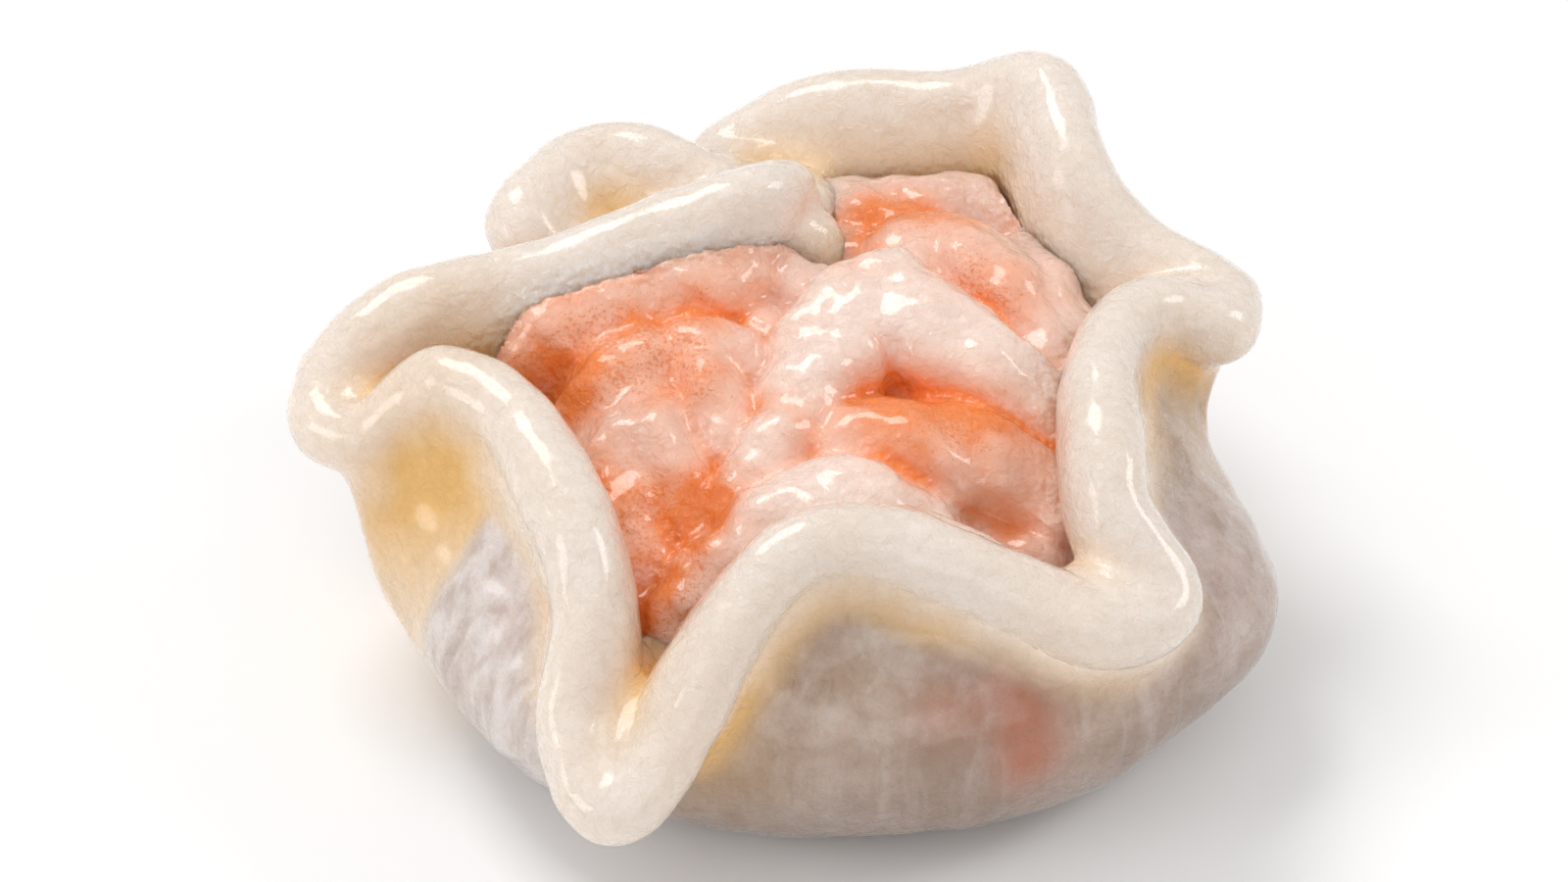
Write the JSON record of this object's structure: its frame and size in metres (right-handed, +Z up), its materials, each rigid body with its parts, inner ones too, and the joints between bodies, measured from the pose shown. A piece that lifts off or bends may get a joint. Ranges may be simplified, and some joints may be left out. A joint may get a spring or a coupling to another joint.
{
  "type": "open-topped steamed shrimp dumpling",
  "caption": "Steamed dumpling: thick translucent dough gathered round a filling of shrimp, its swollen free edge thrown into loose folds, open at the top.",
  "frame": {"origin": "middle of the footprint of the whole dumpling, on the surface it rests on", "axes": "+Z up; -Y towards the lowest fold's side, which is the shown front; +X to the shown right"},
  "size_m": [0.0481, 0.0468, 0.0208],
  "materials": {
    "dough": "moist translucent steamed dough",
    "minced_shrimp": "wet minced shrimp",
    "pale_shrimp": "wet, pale pink flesh",
    "pink_shrimp": "wet pink flesh with orange patches",
    "amber_shrimp": "wet flesh tinted orange with fine specks"
  },
  "bodies": {
    "root": {"wrapper": "dough", "minced_core": "minced_shrimp", "shrimp_centre": "pale_shrimp", "shrimp_front": "pale_shrimp", "shrimp_left": "pink_shrimp", "shrimp_right": "pink_shrimp", "shrimp_back": "pink_shrimp", "shrimp_middle": "pale_shrimp", "shrimp_low_right": "amber_shrimp"}
  },
  "joints": []
}
